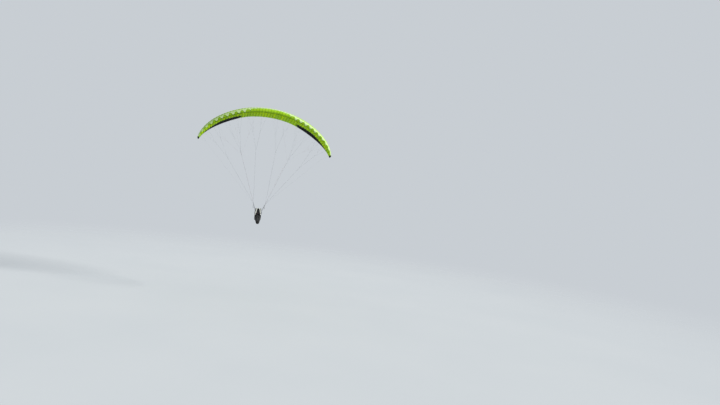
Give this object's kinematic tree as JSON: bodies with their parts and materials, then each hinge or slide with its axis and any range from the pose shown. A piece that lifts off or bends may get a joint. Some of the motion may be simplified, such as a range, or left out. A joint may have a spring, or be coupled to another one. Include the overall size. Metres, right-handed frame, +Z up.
{
  "type": "paraglider",
  "caption": "Solo ram-air paraglider: curved canopy of open-nosed cells, line rows, risers, brake toggles and a reclining pod harness hung on two carabiners.",
  "frame": {"origin": "in the canopy's centre, on its chord line 30% of the chord behind the nose, where the air carries the glider", "axes": "+Z up, -Y the way it flies, +X to the pilot's left, along the span"},
  "size_m": [9.1884, 2.596, 7.9552],
  "materials": {
    "canopy_cloth": "lime ripstop nylon, satin",
    "line_cord": "sheathed cord",
    "webbing": "black woven webbing",
    "stripe_fabric": "light grey padded strap",
    "steel": "polished",
    "alloy": "anodised grey",
    "toggle_fabric": "black grip",
    "pod_fabric": "black coated fabric",
    "pad_fabric": "dark grey mesh fabric",
    "board": "plywood",
    "plate": "carbon plate",
    "buckle": "anodised",
    "handle_fabric": "red grip"
  },
  "bodies": {
    "wing": {"canopy_centre": "canopy_cloth", "canopy_inner_left": "canopy_cloth", "canopy_inner_right": "canopy_cloth", "canopy_middle_left": "canopy_cloth", "canopy_middle_right": "canopy_cloth", "canopy_outer_left": "canopy_cloth", "canopy_outer_right": "canopy_cloth", "canopy_shoulder_left": "canopy_cloth", "canopy_shoulder_right": "canopy_cloth", "canopy_tip_left": "canopy_cloth", "canopy_tip_right": "canopy_cloth", "lines_a_left": "line_cord", "lines_a_right": "line_cord", "lines_b_left": "line_cord", "lines_b_right": "line_cord", "lines_c_left": "line_cord", "lines_c_right": "line_cord", "lines_brake_left": "line_cord", "lines_brake_right": "line_cord", "riser_left": "webbing", "riser_right": "webbing", "maillon_a_left": "steel", "maillon_a_right": "steel", "maillon_b_left": "steel", "maillon_b_right": "steel", "maillon_c_left": "steel", "maillon_c_right": "steel", "carabiner_left": "alloy", "carabiner_right": "alloy", "brake_pulley_left": "alloy", "brake_pulley_right": "alloy"},
    "harness": {"hang_web_left": "webbing", "hang_web_right": "webbing", "chest_strap": "webbing", "shoulder_strap_left": "stripe_fabric", "shoulder_strap_right": "stripe_fabric", "harness_shell": "pod_fabric", "leg_pod": "pod_fabric", "rear_pocket": "pod_fabric", "reserve_container": "pod_fabric", "cockpit_deck": "pod_fabric", "seat_cushion": "pad_fabric", "back_pad": "pad_fabric", "headrest": "pad_fabric", "seat_board": "board", "foot_plate": "plate", "chest_buckle": "buckle", "reserve_handle": "handle_fabric"},
    "left_brake": {"brake_toggle_left": "toggle_fabric"},
    "right_brake": {"brake_toggle_right": "toggle_fabric"}
  },
  "joints": [
    {"name": "harness_recline", "type": "hinge", "parent": "wing", "child": "harness", "pos_m": [0, 0, -6.85], "axis": [1, 0, 0], "range_deg": [-25, 25]},
    {"name": "left_brake_pull", "type": "slide", "parent": "wing", "child": "left_brake", "axis": [0, 0, -1], "range_m": [0, 0.6], "stiffness_N_per_m": 30, "springref_m": -0.1},
    {"name": "right_brake_pull", "type": "slide", "parent": "wing", "child": "right_brake", "axis": [0, 0, -1], "range_m": [0, 0.6], "stiffness_N_per_m": 30, "springref_m": -0.1}
  ]
}
